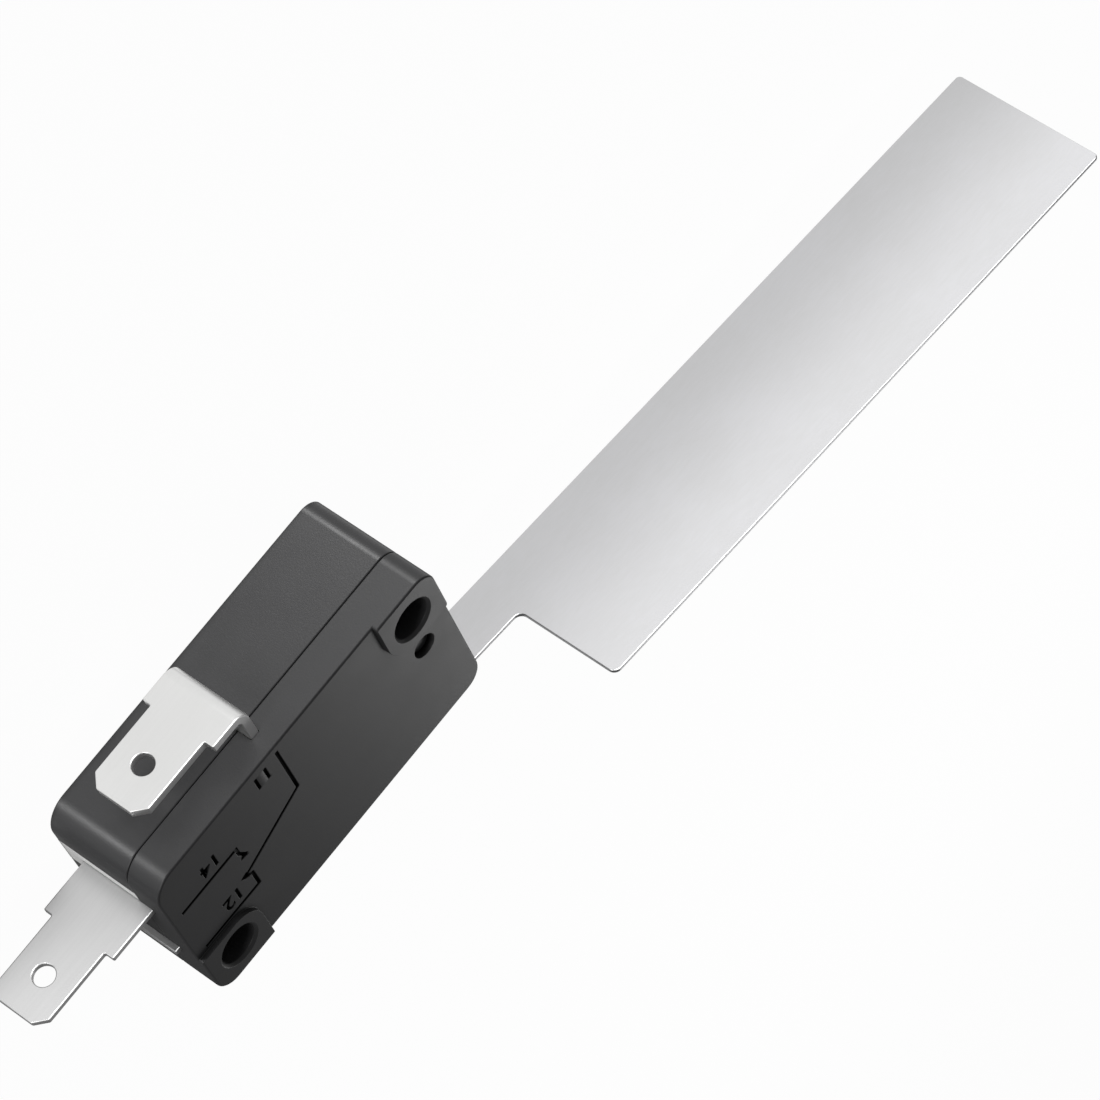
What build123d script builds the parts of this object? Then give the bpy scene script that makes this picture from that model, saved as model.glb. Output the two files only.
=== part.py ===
from build123d import *
from math import cos, sin, tan, radians, sqrt
import os

os.makedirs("parts", exist_ok=True)

# Frame: the origin is the axis of the mounting hole near the terminals, on the flat back of the case.
# X runs along the body towards the terminals, Y across it towards the plunger, Z up through the cover.

# body
LENGTH = 27.8
HEIGHT = 15.9
THICKNESS = 10.1
HOLE_EDGE = 2.8
HOLE_R = 1.55
RIM = 0.2
PARTING = 6.9
PAD = 0.4
PAD_LONG = 5.35
PAD_WIDE = 5.15
PAD_CORNER = 2.0
WALL = 1.2
R_UNDER_NEAR = 2.1
R_UNDER_FAR = 1.5
R_TOP_NEAR = 1.6
R_TOP_FAR = 1.5
BOSS_R = 2.35
BACK_EDGE = 0.12
FACE = THICKNESS - PAD
ROOF = FACE - 1.1
X_NEAR = HOLE_EDGE
X_FAR = HOLE_EDGE - LENGTH
Y_TOP = HOLE_EDGE
Y_UNDER = HOLE_EDGE - HEIGHT
HOLE_B_X = X_FAR + HOLE_EDGE
HOLE_B_Y = Y_UNDER + HOLE_EDGE
X_WALL = X_NEAR - WALL
Y_FLOOR = Y_UNDER + WALL

# terminals, the common one of thicker sheet
SHEET = 0.5
COM_SHEET = 0.75
TAB_W = 4.75
SHOULDER_W = 6.25
TAB_L = 6.45
TAB_CUT = 0.85
TAB_HOLE_R = 0.8
TAB_HOLE_IN = 3.0
T_MID = 4.95
T_LOW = T_MID - SHOULDER_W / 2
T_HIGH = T_MID + SHOULDER_W / 2
SLOT_FIT = 0.02
NO_OUT = 10.5
NO_TIP = X_NEAR + NO_OUT
BORE_SKIN = 0.45
NC_Y = -(HOLE_R + BORE_SKIN + SHEET)
NC_OUT = 0.45
NC_STUB = X_NEAR + NC_OUT
COM_IN = 3.05
COM_TIP = X_NEAR - COM_IN
COM_DROP = 3.25
COM_BACK = 9.275
COM_LEG_X = COM_TIP - COM_BACK
COM_Y = Y_UNDER - COM_DROP
BEND_R = 0.75

# contacts
CONTACT_IN = 6.3
CONTACT_X = X_WALL - CONTACT_IN
CONTACT_R = 1.4
SHANK_R = 0.6
SHANK_FIT = 0.02
TAIL_R = 0.95
TAIL = 0.25
NC_HEAD = 0.6
NO_HEAD = 0.7
TOUCH = 0.03
TERMINAL_END = 1.5
NC_DROP = 1.6
NC_BEND_IN = 2.8
NC_BEND_RUN = 1.4
NC_CLEAR = 0.05
MOVING_HEAD = 0.7
BLADE_SHEET = 0.3
BLADE_W = 4.2
BLADE_PIVOT_IN = 1.8
BLADE_PIVOT_X = HOLE_B_X + BLADE_PIVOT_IN
NC_FACE = NC_Y - NC_DROP - NC_HEAD
CONTACT_GAP = 0.97
BLADE_Y = NC_FACE - TOUCH - MOVING_HEAD - BLADE_SHEET / 2
NO_FACE = BLADE_Y - BLADE_SHEET / 2 - MOVING_HEAD - CONTACT_GAP
NO_Y = NO_FACE - NO_HEAD - SHEET

# lever and sail
SAIL_SHEET = 0.35
SAIL_ANGLE = 8.3
SAIL_OVER_PIVOT = 0.745
SAIL_TIP = 58.8
SAIL_NOTCH = 5.83
SAIL_LOW = 3.0
SAIL_NECK = 7.02
SAIL_HIGH = 15.58
SAIL_CORNER = 0.6
SAIL_TIP_CORNER = 0.35
PIVOT_IN = 5.2
PIVOT_DOWN = 1.1
PIVOT_X = X_NEAR - PIVOT_IN
PIVOT_Y = Y_TOP - PIVOT_DOWN
CRANK = 3.2
CRANK_FLAT = 1.6
CRANK_OVERLAP = 5.9
EAR_LONG = 1.2
EAR_OUT = 0.8
EAR_FIT = 0.05
EAR_SIDE = 0.1
GROOVE_SIDE = 0.3
GROOVE_DEPTH = 1.9
GROOVE_LENGTH = 7.2
GROOVE_FLOOR = Y_TOP - GROOVE_DEPTH
GROOVE_END = PIVOT_X - GROOVE_LENGTH
SWING = 5.0

# plunger
PLUNGER_IN = 4.8
PLUNGER_X = HOLE_B_X + PLUNGER_IN
PLUNGER_R = 1.3
PLUNGER_FIT = 0.03
COLLAR_R = 1.75
COLLAR_H = 0.65
NOSE_R = 0.9
DOME_R = 3.0
GUIDE = 2.0
CEILING_STEP = 4.9
CEILING = Y_TOP - GUIDE
MID_CEILING = GROOVE_FLOOR - 1.3
NECK_MID = (SAIL_LOW + SAIL_NECK) / 2

# post seen in the small hole of the cover
POST_X = HOLE_B_X
POST_UP = 7.1
POST_Y = Y_UNDER + POST_UP
POST_R = 0.85
POST_FIT = 0.1
POST_DOWN = 0.5

# pale insert in the end wall
INSERT_BELOW = 1.2
INSERT_ABOVE = 1.6
INSERT_LOW = NO_Y - INSERT_BELOW
INSERT_HIGH = NO_Y + INSERT_ABOVE
INSERT_FLANGE = 0.6

# values that follow from the sizes
SLOPE = radians(SAIL_ANGLE)
EAR_R = sqrt((EAR_LONG / 2) ** 2 + (SAIL_SHEET / 2) ** 2) + EAR_FIT
SAIL_Y = PIVOT_Y + SAIL_OVER_PIVOT / cos(SLOPE) + (PIVOT_X - X_FAR) * tan(SLOPE)
LEVER_AT_PLUNGER = SAIL_Y - (PLUNGER_X - X_FAR) * tan(SLOPE)
PLUNGER_TOP = LEVER_AT_PLUNGER - DOME_R * (1 / cos(SLOPE) - 1) - TOUCH
PLUNGER_TRAVEL = (PIVOT_X - PLUNGER_X) * radians(SWING) * 1.03
NOSE_Y = BLADE_Y + BLADE_SHEET / 2 + PLUNGER_TRAVEL - 0.1


def on_sail(along, out):
    x = X_FAR - along * cos(SLOPE) + out * sin(SLOPE)
    y = SAIL_Y + along * sin(SLOPE) + out * cos(SLOPE)
    return (x, y)


def tab_outline(root, tip):
    """Outline of a flat terminal in the X-Z plane, from its inner end to its chamfered tip."""
    shoulder = tip - TAB_L
    low = T_MID - TAB_W / 2
    high = T_MID + TAB_W / 2
    return [
        (root, T_LOW), (shoulder, T_LOW), (shoulder, low), (tip - TAB_CUT, low),
        (tip, low + TAB_CUT), (tip, high - TAB_CUT), (tip - TAB_CUT, high),
        (shoulder, high), (shoulder, T_HIGH), (root, T_HIGH),
    ]


# outline of the body, used by case and cover
with BuildSketch() as body_outline:
    with BuildLine():
        Polyline(
            (X_NEAR, Y_UNDER), (X_NEAR, Y_TOP), (X_FAR, Y_TOP), (X_FAR, Y_UNDER), close=True
        )
    make_face()
    fillet(body_outline.vertices().sort_by(Axis((0, 0, 0), (1, -1, 0)))[-1], R_UNDER_NEAR)
    fillet(body_outline.vertices().sort_by(Axis((0, 0, 0), (1, 1, 0)))[-1], R_TOP_NEAR)
    fillet(body_outline.vertices().sort_by(Axis((0, 0, 0), (-1, -1, 0)))[-1], R_UNDER_FAR)
    fillet(body_outline.vertices().sort_by(Axis((0, 0, 0), (-1, 1, 0)))[-1], R_TOP_FAR)

# hollow of the mechanism, open between case and cover
NC_TOP = NC_Y + SHEET + NC_CLEAR
NC_STEP = X_WALL - NC_BEND_IN - 1.7
with BuildSketch() as hollow:
    with BuildLine():
        Polyline(
            (X_WALL, Y_FLOOR), (X_WALL, NC_TOP), (NC_STEP, NC_TOP), (NC_STEP, MID_CEILING),
            (PLUNGER_X + CEILING_STEP, MID_CEILING), (PLUNGER_X + CEILING_STEP, CEILING),
            (X_FAR + WALL, CEILING), (X_FAR + WALL, Y_FLOOR), close=True,
        )
    make_face()
    low_corner = hollow.vertices().group_by(Axis.X)[-1].sort_by(Axis.Y)[0]
    fillet(low_corner, R_UNDER_NEAR - WALL)
    with Locations((HOLE_B_X, HOLE_B_Y)):
        Circle(BOSS_R, mode=Mode.SUBTRACT)
        Rectangle(BOSS_R * 2, BOSS_R * 2, align=(Align.MAX, Align.MAX), mode=Mode.SUBTRACT)
    with Locations((HOLE_B_X, HOLE_B_Y + BOSS_R)):
        Rectangle(BOSS_R * 2, BOSS_R * 2, align=(Align.MAX, Align.MAX), mode=Mode.SUBTRACT)
    with Locations((HOLE_B_X + BOSS_R, HOLE_B_Y)):
        Rectangle(BOSS_R * 2, BOSS_R * 2, align=(Align.MAX, Align.MAX), mode=Mode.SUBTRACT)

# wall slots of the three terminals, as x, y, length, width
SLOTS = [
    (X_WALL - 0.5, NO_Y + SHEET / 2, WALL + 1.0, SHEET + 2 * SLOT_FIT),
    (X_WALL - 0.5, NC_Y + SHEET / 2, WALL + 1.0, SHEET + 2 * SLOT_FIT),
]
LEG_SLOT = (COM_LEG_X, Y_UNDER + WALL / 2, COM_SHEET + 2 * SLOT_FIT, WALL + 0.4)
# relief in the wall under the inner bend of the common terminal
RELIEF_DEEP = BEND_R - COM_SHEET / 2 + 0.05
LEG_RELIEF = (COM_LEG_X + COM_SHEET / 2 + SLOT_FIT, Y_FLOOR, BEND_R + COM_SHEET + 0.1, RELIEF_DEEP)

with BuildPart() as case:
    with BuildSketch():
        add(body_outline.sketch)
    extrude(amount=PARTING)
    back_edges = case.faces().sort_by(Axis.Z)[0].edges()
    fillet(back_edges, BACK_EDGE)
    with BuildSketch(Plane.XY.offset(WALL)):
        add(hollow.sketch)
    extrude(amount=PARTING - WALL, mode=Mode.SUBTRACT)
    # post that locates the cover
    with BuildSketch(Plane.XY.offset(WALL)):
        with Locations((POST_X, POST_Y)):
            Circle(POST_R)
    extrude(amount=FACE - POST_DOWN - WALL)
    # window of the pale insert
    with Locations((X_WALL, INSERT_LOW, 0)):
        Box(WALL * 2, INSERT_HIGH - INSERT_LOW, PARTING,
            align=(Align.MIN, Align.MIN, Align.MIN), mode=Mode.SUBTRACT)
    # wall slots, closed at their lower end, where the sheets sit
    for x, y, long, wide in SLOTS:
        with Locations((x, y, T_LOW)):
            Box(long + 1, wide, PARTING, align=(Align.MIN, Align.CENTER, Align.MIN), mode=Mode.SUBTRACT)
    with Locations((LEG_SLOT[0], LEG_SLOT[1], T_LOW)):
        Box(LEG_SLOT[2], LEG_SLOT[3], PARTING, align=(Align.CENTER, Align.CENTER, Align.MIN),
            mode=Mode.SUBTRACT)
    with Locations((LEG_RELIEF[0], LEG_RELIEF[1], T_LOW)):
        Box(LEG_RELIEF[2], LEG_RELIEF[3], PARTING, align=(Align.MAX, Align.MAX, Align.MIN),
            mode=Mode.SUBTRACT)
    # groove and ear pocket of the lever
    with Locations((PIVOT_X + EAR_R, GROOVE_FLOOR, SAIL_LOW - GROOVE_SIDE)):
        Box(PIVOT_X + EAR_R - GROOVE_END, HEIGHT, PARTING,
            align=(Align.MAX, Align.MIN, Align.MIN), mode=Mode.SUBTRACT)
    with BuildSketch(Plane.XY.offset(SAIL_LOW - EAR_OUT - EAR_SIDE)):
        with Locations((PIVOT_X, PIVOT_Y)):
            Circle(EAR_R)
    extrude(amount=PARTING, mode=Mode.SUBTRACT)
    # guide of the plunger
    with BuildSketch(Plane.XZ.offset(-CEILING + 0.5)):
        with Locations((PLUNGER_X, NECK_MID)):
            Circle(PLUNGER_R + PLUNGER_FIT)
    extrude(amount=-(Y_TOP - CEILING + 1.0), mode=Mode.SUBTRACT)
    # mounting holes
    with BuildSketch():
        with Locations((0, 0), (HOLE_B_X, HOLE_B_Y)):
            Circle(HOLE_R)
    extrude(amount=PARTING, mode=Mode.SUBTRACT)
case.part.label = "case"
export_step(case.part, "parts/case.step")

with BuildPart() as cover:
    with BuildSketch(Plane.XY.offset(PARTING)):
        add(body_outline.sketch)
    extrude(amount=FACE - PARTING)
    # raised pads round the mounting holes, cut to the outline of the body
    with BuildSketch(Plane.XY.offset(FACE)):
        with Locations((X_NEAR - PAD_LONG, Y_TOP - PAD_WIDE)):
            RectangleRounded(2 * PAD_LONG, 2 * PAD_WIDE, PAD_CORNER, align=(Align.MIN, Align.MIN))
        with Locations((X_FAR + PAD_LONG, Y_UNDER + PAD_WIDE)):
            RectangleRounded(2 * PAD_LONG, 2 * PAD_WIDE, PAD_CORNER, align=(Align.MAX, Align.MAX))
        add(body_outline.sketch, mode=Mode.INTERSECT)
    extrude(amount=PAD)
    with BuildSketch(Plane.XY.offset(PARTING)):
        add(hollow.sketch)
    extrude(amount=ROOF - PARTING, mode=Mode.SUBTRACT)
    for x, y, long, wide in SLOTS:
        with Locations((x, y, PARTING)):
            Box(long + 1, wide, T_HIGH + SLOT_FIT - PARTING,
                align=(Align.MIN, Align.CENTER, Align.MIN), mode=Mode.SUBTRACT)
    with Locations((LEG_SLOT[0], LEG_SLOT[1], PARTING)):
        Box(LEG_SLOT[2], LEG_SLOT[3], T_HIGH + SLOT_FIT - PARTING,
            align=(Align.CENTER, Align.CENTER, Align.MIN), mode=Mode.SUBTRACT)
    with Locations((LEG_RELIEF[0], LEG_RELIEF[1], PARTING)):
        Box(LEG_RELIEF[2], LEG_RELIEF[3], T_HIGH + SLOT_FIT - PARTING,
            align=(Align.MAX, Align.MAX, Align.MIN), mode=Mode.SUBTRACT)
    with Locations((PIVOT_X + EAR_R, GROOVE_FLOOR, PARTING)):
        Box(PIVOT_X + EAR_R - GROOVE_END, HEIGHT, SAIL_NECK + GROOVE_SIDE - PARTING,
            align=(Align.MAX, Align.MIN, Align.MIN), mode=Mode.SUBTRACT)
    with BuildSketch(Plane.XY.offset(PARTING)):
        with Locations((PIVOT_X, PIVOT_Y)):
            Circle(EAR_R)
    extrude(amount=SAIL_NECK + EAR_OUT + EAR_SIDE - PARTING, mode=Mode.SUBTRACT)
    # hole over the locating post
    with BuildSketch(Plane.XY.offset(PARTING)):
        with Locations((POST_X, POST_Y)):
            Circle(POST_R + POST_FIT)
    extrude(amount=THICKNESS, mode=Mode.SUBTRACT)
    with BuildSketch(Plane.XY.offset(PARTING)):
        with Locations((0, 0), (HOLE_B_X, HOLE_B_Y)):
            Circle(HOLE_R)
    extrude(amount=THICKNESS, mode=Mode.SUBTRACT)
    rims = cover.faces().sort_by(Axis.Z)[-1].edges().filter_by(GeomType.CIRCLE)
    rims = rims.filter_by(lambda e: abs(e.radius - HOLE_R) < 0.01)
    other = cover.faces().sort_by(Axis.Z)[-2].edges().filter_by(GeomType.CIRCLE)
    rims = rims + other.filter_by(lambda e: abs(e.radius - HOLE_R) < 0.01)
    chamfer(rims, RIM)
cover.part.label = "cover"
export_step(cover.part, "parts/cover.step")

with BuildPart() as terminal_insert:
    with Locations((X_WALL, INSERT_LOW, 0)):
        Box(WALL, INSERT_HIGH - INSERT_LOW, PARTING, align=(Align.MIN, Align.MIN, Align.MIN))
    with Locations((X_WALL, INSERT_LOW, WALL)):
        Box(INSERT_FLANGE, INSERT_HIGH - INSERT_LOW + 0.6, PARTING - WALL,
            align=(Align.MAX, Align.MIN, Align.MIN))
    with Locations((X_WALL, NO_Y + SHEET / 2, T_LOW)):
        Box(WALL * 4, SHEET + 2 * SLOT_FIT, PARTING, align=(Align.CENTER, Align.CENTER, Align.MIN),
            mode=Mode.SUBTRACT)
    with BuildSketch():
        add(body_outline.sketch)
    extrude(amount=PARTING, mode=Mode.INTERSECT)
terminal_insert.part.label = "terminal_insert"
export_step(terminal_insert.part, "parts/terminal_insert.step")

with BuildPart() as normally_open_terminal:
    with BuildSketch(Plane.XZ.offset(-(NO_Y + SHEET))):
        with BuildLine():
            Polyline(*tab_outline(CONTACT_X - TERMINAL_END, NO_TIP), close=True)
        make_face()
        with Locations((NO_TIP - TAB_HOLE_IN, T_MID)):
            Circle(TAB_HOLE_R, mode=Mode.SUBTRACT)
        with Locations((CONTACT_X, T_MID)):
            Circle(SHANK_R + SHANK_FIT, mode=Mode.SUBTRACT)
    extrude(amount=SHEET)
normally_open_terminal.part.label = "normally_open_terminal"
export_step(normally_open_terminal.part, "parts/normally_open_terminal.step")

with BuildPart() as normally_closed_terminal:
    with BuildSketch(Plane.XY.offset(T_LOW)):
        with BuildLine():
            FilletPolyline(
                (NC_STUB, NC_Y + SHEET / 2), (X_WALL - NC_BEND_IN, NC_Y + SHEET / 2),
                (X_WALL - NC_BEND_IN - NC_BEND_RUN, NC_Y + SHEET / 2 - NC_DROP),
                (CONTACT_X - TERMINAL_END, NC_Y + SHEET / 2 - NC_DROP),
                radius=0.5,
            )
        trace(line_width=SHEET)
    extrude(amount=SHOULDER_W)
    with BuildSketch(Plane.XZ.offset(-(NC_Y + SHEET))):
        with Locations((CONTACT_X, T_MID)):
            Circle(SHANK_R + SHANK_FIT)
    extrude(amount=HEIGHT / 2, mode=Mode.SUBTRACT)
normally_closed_terminal.part.label = "normally_closed_terminal"
export_step(normally_closed_terminal.part, "parts/normally_closed_terminal.step")

LEG_FLOOR = Y_FLOOR + COM_SHEET / 2
LEG_BY_BOSS = 1.1
SHELF_DROP = 1.37
SEAT_GAP = 0.05
POST_BACK = 3.6
POST_W = 1.6
LEG_UP_X = HOLE_B_X + BOSS_R + LEG_BY_BOSS
SHELF_Y = BLADE_Y - SHELF_DROP
SEAT_X = BLADE_PIVOT_X - 0.1
SPRING_POST_X = COM_LEG_X - POST_BACK
SPRING_POST_TOP = SHELF_Y + 0.35
FLAT_IN = 1.6
with BuildPart() as common_terminal:
    with BuildSketch(Plane.XY.offset(T_LOW)):
        with BuildLine():
            FilletPolyline(
                (COM_TIP - TAB_L - FLAT_IN, COM_Y + COM_SHEET / 2), (COM_LEG_X, COM_Y + COM_SHEET / 2),
                (COM_LEG_X, LEG_FLOOR), (LEG_UP_X, LEG_FLOOR), (LEG_UP_X, SHELF_Y),
                (SEAT_X, SHELF_Y), (SEAT_X, BLADE_Y - BLADE_SHEET / 2 - SEAT_GAP),
                radius=BEND_R,
            )
        trace(line_width=COM_SHEET)
    extrude(amount=SHOULDER_W)
    with BuildSketch(Plane.XZ.offset(-(COM_Y + COM_SHEET))):
        with BuildLine():
            Polyline(*tab_outline(COM_TIP - TAB_L - FLAT_IN, COM_TIP), close=True)
        make_face()
        with Locations((COM_TIP - TAB_HOLE_IN, T_MID)):
            Circle(TAB_HOLE_R, mode=Mode.SUBTRACT)
    extrude(amount=COM_SHEET)
    # post of the bow spring, folded up from the floor of the terminal
    with Locations((SPRING_POST_X, LEG_FLOOR, T_MID)):
        Box(COM_SHEET, SPRING_POST_TOP - LEG_FLOOR, POST_W, align=(Align.CENTER, Align.MIN, Align.CENTER))
common_terminal.part.label = "common_terminal"
export_step(common_terminal.part, "parts/common_terminal.step")


def rivet_profile(head_low, head, sheet_low, sheet, tail_high):
    """Half section of a contact rivet: radius first, then height."""
    return [
        (0, head_low), (CONTACT_R, head_low), (CONTACT_R, head), (SHANK_R, head),
        (SHANK_R, sheet), (TAIL_R, sheet), (TAIL_R, tail_high), (0, tail_high),
    ]


contact_axis = Plane((CONTACT_X, 0, T_MID), x_dir=(1, 0, 0), z_dir=(0, 0, 1))
NC_UNDER = NC_Y - NC_DROP
with BuildPart() as normally_closed_contact:
    with BuildSketch(contact_axis):
        with BuildLine():
            Polyline(
                *rivet_profile(NC_UNDER - NC_HEAD, NC_UNDER, NC_UNDER, NC_UNDER + SHEET,
                               NC_UNDER + SHEET + TAIL),
                close=True,
            )
        make_face()
    revolve(axis=Axis((CONTACT_X, 0, T_MID), (0, 1, 0)))
normally_closed_contact.part.label = "normally_closed_contact"
export_step(normally_closed_contact.part, "parts/normally_closed_contact.step")

with BuildPart() as normally_open_contact:
    with BuildSketch(contact_axis):
        with BuildLine():
            Polyline(
                (0, NO_Y - TAIL), (TAIL_R, NO_Y - TAIL), (TAIL_R, NO_Y), (SHANK_R, NO_Y),
                (SHANK_R, NO_Y + SHEET), (CONTACT_R, NO_Y + SHEET),
                (CONTACT_R, NO_Y + SHEET + NO_HEAD), (0, NO_Y + SHEET + NO_HEAD), close=True,
            )
        make_face()
    revolve(axis=Axis((CONTACT_X, 0, T_MID), (0, 1, 0)))
normally_open_contact.part.label = "normally_open_contact"
export_step(normally_open_contact.part, "parts/normally_open_contact.step")

BLADE_LOW = BLADE_Y - BLADE_SHEET / 2
BLADE_HIGH = BLADE_Y + BLADE_SHEET / 2
with BuildPart() as moving_contact:
    with BuildSketch(contact_axis):
        with BuildLine():
            Polyline(
                (0, BLADE_LOW - MOVING_HEAD), (CONTACT_R, BLADE_LOW - MOVING_HEAD),
                (CONTACT_R, BLADE_LOW), (SHANK_R, BLADE_LOW), (SHANK_R, BLADE_HIGH),
                (CONTACT_R, BLADE_HIGH), (CONTACT_R, BLADE_HIGH + MOVING_HEAD),
                (0, BLADE_HIGH + MOVING_HEAD), close=True,
            )
        make_face()
    revolve(axis=Axis((CONTACT_X, 0, T_MID), (0, 1, 0)))
moving_contact.part.label = "moving_contact"
export_step(moving_contact.part, "parts/moving_contact.step")

WINDOW_BY_CONTACT = 3.3
WINDOW_L = 7.0
WINDOW_W = 1.9
NECK_W = 1.8
BLADE_NOSE = 1.7
BLADE_TAIL = 0.4
WINDOW_NEAR = CONTACT_X - WINDOW_BY_CONTACT
with BuildPart() as contact_blade:
    with BuildSketch(Plane.XZ.offset(-BLADE_HIGH)):
        with BuildLine():
            Polyline(
                (BLADE_PIVOT_X - BLADE_TAIL, T_MID - BLADE_W / 2), (CONTACT_X, T_MID - BLADE_W / 2),
                (CONTACT_X + BLADE_NOSE, T_MID - NECK_W / 2), (CONTACT_X + BLADE_NOSE, T_MID + NECK_W / 2),
                (CONTACT_X, T_MID + BLADE_W / 2), (BLADE_PIVOT_X - BLADE_TAIL, T_MID + BLADE_W / 2),
                close=True,
            )
        make_face()
        with Locations((WINDOW_NEAR - WINDOW_L / 2, T_MID)):
            RectangleRounded(WINDOW_L, WINDOW_W, WINDOW_W / 5, mode=Mode.SUBTRACT)
        with Locations((CONTACT_X, T_MID)):
            Circle(SHANK_R + SHANK_FIT, mode=Mode.SUBTRACT)
    extrude(amount=BLADE_SHEET)
contact_blade.part.label = "contact_blade"
export_step(contact_blade.part, "parts/contact_blade.step")

BOW_W = 1.5
BOW_SHEET = 0.2
BOW_DEEP = 0.7
with BuildPart() as bow_spring:
    with BuildSketch(Plane.XY.offset(T_MID - BOW_W / 2)):
        with BuildLine():
            bow_start = (SPRING_POST_X + COM_SHEET / 2, SPRING_POST_TOP - BOW_SHEET * 1.5)
            bow_end = (WINDOW_NEAR - BOW_SHEET, BLADE_Y)
            bow_low = ((bow_start[0] + bow_end[0]) / 2 - BOW_DEEP / 4, bow_start[1] - BOW_DEEP)
            ThreePointArc(bow_start, bow_low, bow_end)
        trace(line_width=BOW_SHEET)
    extrude(amount=BOW_W)
bow_spring.part.label = "bow_spring"
export_step(bow_spring.part, "parts/bow_spring.step")

with BuildPart() as plunger:
    with BuildSketch(Plane((PLUNGER_X, 0, NECK_MID), x_dir=(1, 0, 0), z_dir=(0, 0, 1))):
        with BuildLine():
            shoulder_y = PLUNGER_TOP - (DOME_R - sqrt(DOME_R ** 2 - PLUNGER_R ** 2))
            dome_mid_x = PLUNGER_R / 2
            dome_mid_y = PLUNGER_TOP - (DOME_R - sqrt(DOME_R ** 2 - dome_mid_x ** 2))
            Polyline(
                (0, PLUNGER_TOP), (0, NOSE_Y), (NOSE_R, NOSE_Y), (NOSE_R, CEILING - COLLAR_H - 0.05),
                (COLLAR_R, CEILING - COLLAR_H - 0.05), (COLLAR_R, CEILING - 0.05),
                (PLUNGER_R, CEILING - 0.05), (PLUNGER_R, shoulder_y),
            )
            ThreePointArc((PLUNGER_R, shoulder_y), (dome_mid_x, dome_mid_y), (0, PLUNGER_TOP))
        make_face()
    revolve(axis=Axis((PLUNGER_X, 0, NECK_MID), (0, 1, 0)))
plunger.part.label = "plunger"
export_step(plunger.part, "parts/plunger.step")

CRANK_END = -(PIVOT_X - CRANK - X_FAR) / cos(SLOPE)
CRANK_AT = -(PIVOT_X - CRANK_OVERLAP - X_FAR) / cos(SLOPE)
sail_plane = Plane(
    origin=(X_FAR, SAIL_Y, 0),
    x_dir=(-cos(SLOPE), sin(SLOPE), 0),
    z_dir=(sin(SLOPE), cos(SLOPE), 0),
)
with BuildPart() as sail:
    with BuildSketch(sail_plane):
        with BuildLine():
            Polyline(
                (CRANK_AT, SAIL_LOW), (SAIL_TIP, SAIL_LOW), (SAIL_TIP, SAIL_HIGH),
                (SAIL_NOTCH, SAIL_HIGH), (SAIL_NOTCH, SAIL_NECK), (CRANK_AT, SAIL_NECK), close=True,
            )
        make_face()
    extrude(amount=SAIL_SHEET)
    rounded = sail.edges().filter_by(Axis(origin=(0, 0, 0), direction=(sin(SLOPE), cos(SLOPE), 0)))
    tip = rounded.filter_by(lambda e: e.center().X < X_FAR - SAIL_TIP / 2)
    by_body = rounded.filter_by(lambda e: X_FAR - SAIL_TIP / 2 < e.center().X < X_FAR - SAIL_NOTCH / 2)
    fillet(tip, SAIL_TIP_CORNER)
    fillet(by_body, SAIL_CORNER)
    # crank down to the pivot
    with BuildSketch(Plane.XY.offset(SAIL_LOW)):
        with BuildLine():
            FilletPolyline(
                (PIVOT_X + EAR_LONG / 2, PIVOT_Y), (PIVOT_X - CRANK_FLAT, PIVOT_Y),
                on_sail(CRANK_END, SAIL_SHEET / 2), on_sail(CRANK_AT, SAIL_SHEET / 2),
                radius=0.5,
            )
        trace(line_width=SAIL_SHEET)
    extrude(amount=SAIL_NECK - SAIL_LOW)
    with Locations((PIVOT_X, PIVOT_Y, NECK_MID)):
        Box(EAR_LONG, SAIL_SHEET, SAIL_NECK - SAIL_LOW + 2 * EAR_OUT)
sail.part.label = "sail"
export_step(sail.part, "parts/sail.step")

print("blade y", BLADE_Y, "plunger top", PLUNGER_TOP, "nose", NOSE_Y, "travel", PLUNGER_TRAVEL)
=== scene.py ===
# %% [markdown]
# # A sail switch, dressed for a product picture
#
# The object is a miniature snap-action switch with a long sheet-metal sail. Air that moves in a
# duct pushes the sail, the sail pushes a small plunger, and the plunger snaps a contact over.
# The solids come from a packed CAD model, in metres. This lesson gives them the rolled edges,
# the engraving and the finishes of the real thing, then lights them and places a camera.

# %% Load the solids
import math

import bmesh
import bpy
from mathutils import Matrix, Vector


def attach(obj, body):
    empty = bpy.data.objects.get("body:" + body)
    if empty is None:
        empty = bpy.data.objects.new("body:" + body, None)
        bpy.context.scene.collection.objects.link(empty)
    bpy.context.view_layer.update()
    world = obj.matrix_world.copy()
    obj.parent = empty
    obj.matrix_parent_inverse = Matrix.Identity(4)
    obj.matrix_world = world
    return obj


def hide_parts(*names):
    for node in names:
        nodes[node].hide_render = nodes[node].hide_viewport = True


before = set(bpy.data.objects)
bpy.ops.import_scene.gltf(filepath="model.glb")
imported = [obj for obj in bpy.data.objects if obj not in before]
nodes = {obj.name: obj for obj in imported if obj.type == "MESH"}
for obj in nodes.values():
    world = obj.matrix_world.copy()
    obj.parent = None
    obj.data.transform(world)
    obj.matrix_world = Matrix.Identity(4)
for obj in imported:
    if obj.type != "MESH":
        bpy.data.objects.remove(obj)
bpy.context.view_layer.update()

MM = 0.001
print("solids:", ", ".join(sorted(nodes)))

# %% [markdown]
# ## Greys as a screen shows them
#
# A shade is easiest to name by its screen value from 0 to 255, but Blender's colours hold
# amounts of light. The screen's own curve turns the one into the other.

# %% Screen greys
def linear(value):
    """A screen value from 0 to 1 as the amount of light that it stands for."""
    if value <= 0.04045:
        return value / 12.92
    return ((value + 0.055) / 1.055) ** 2.4


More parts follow.
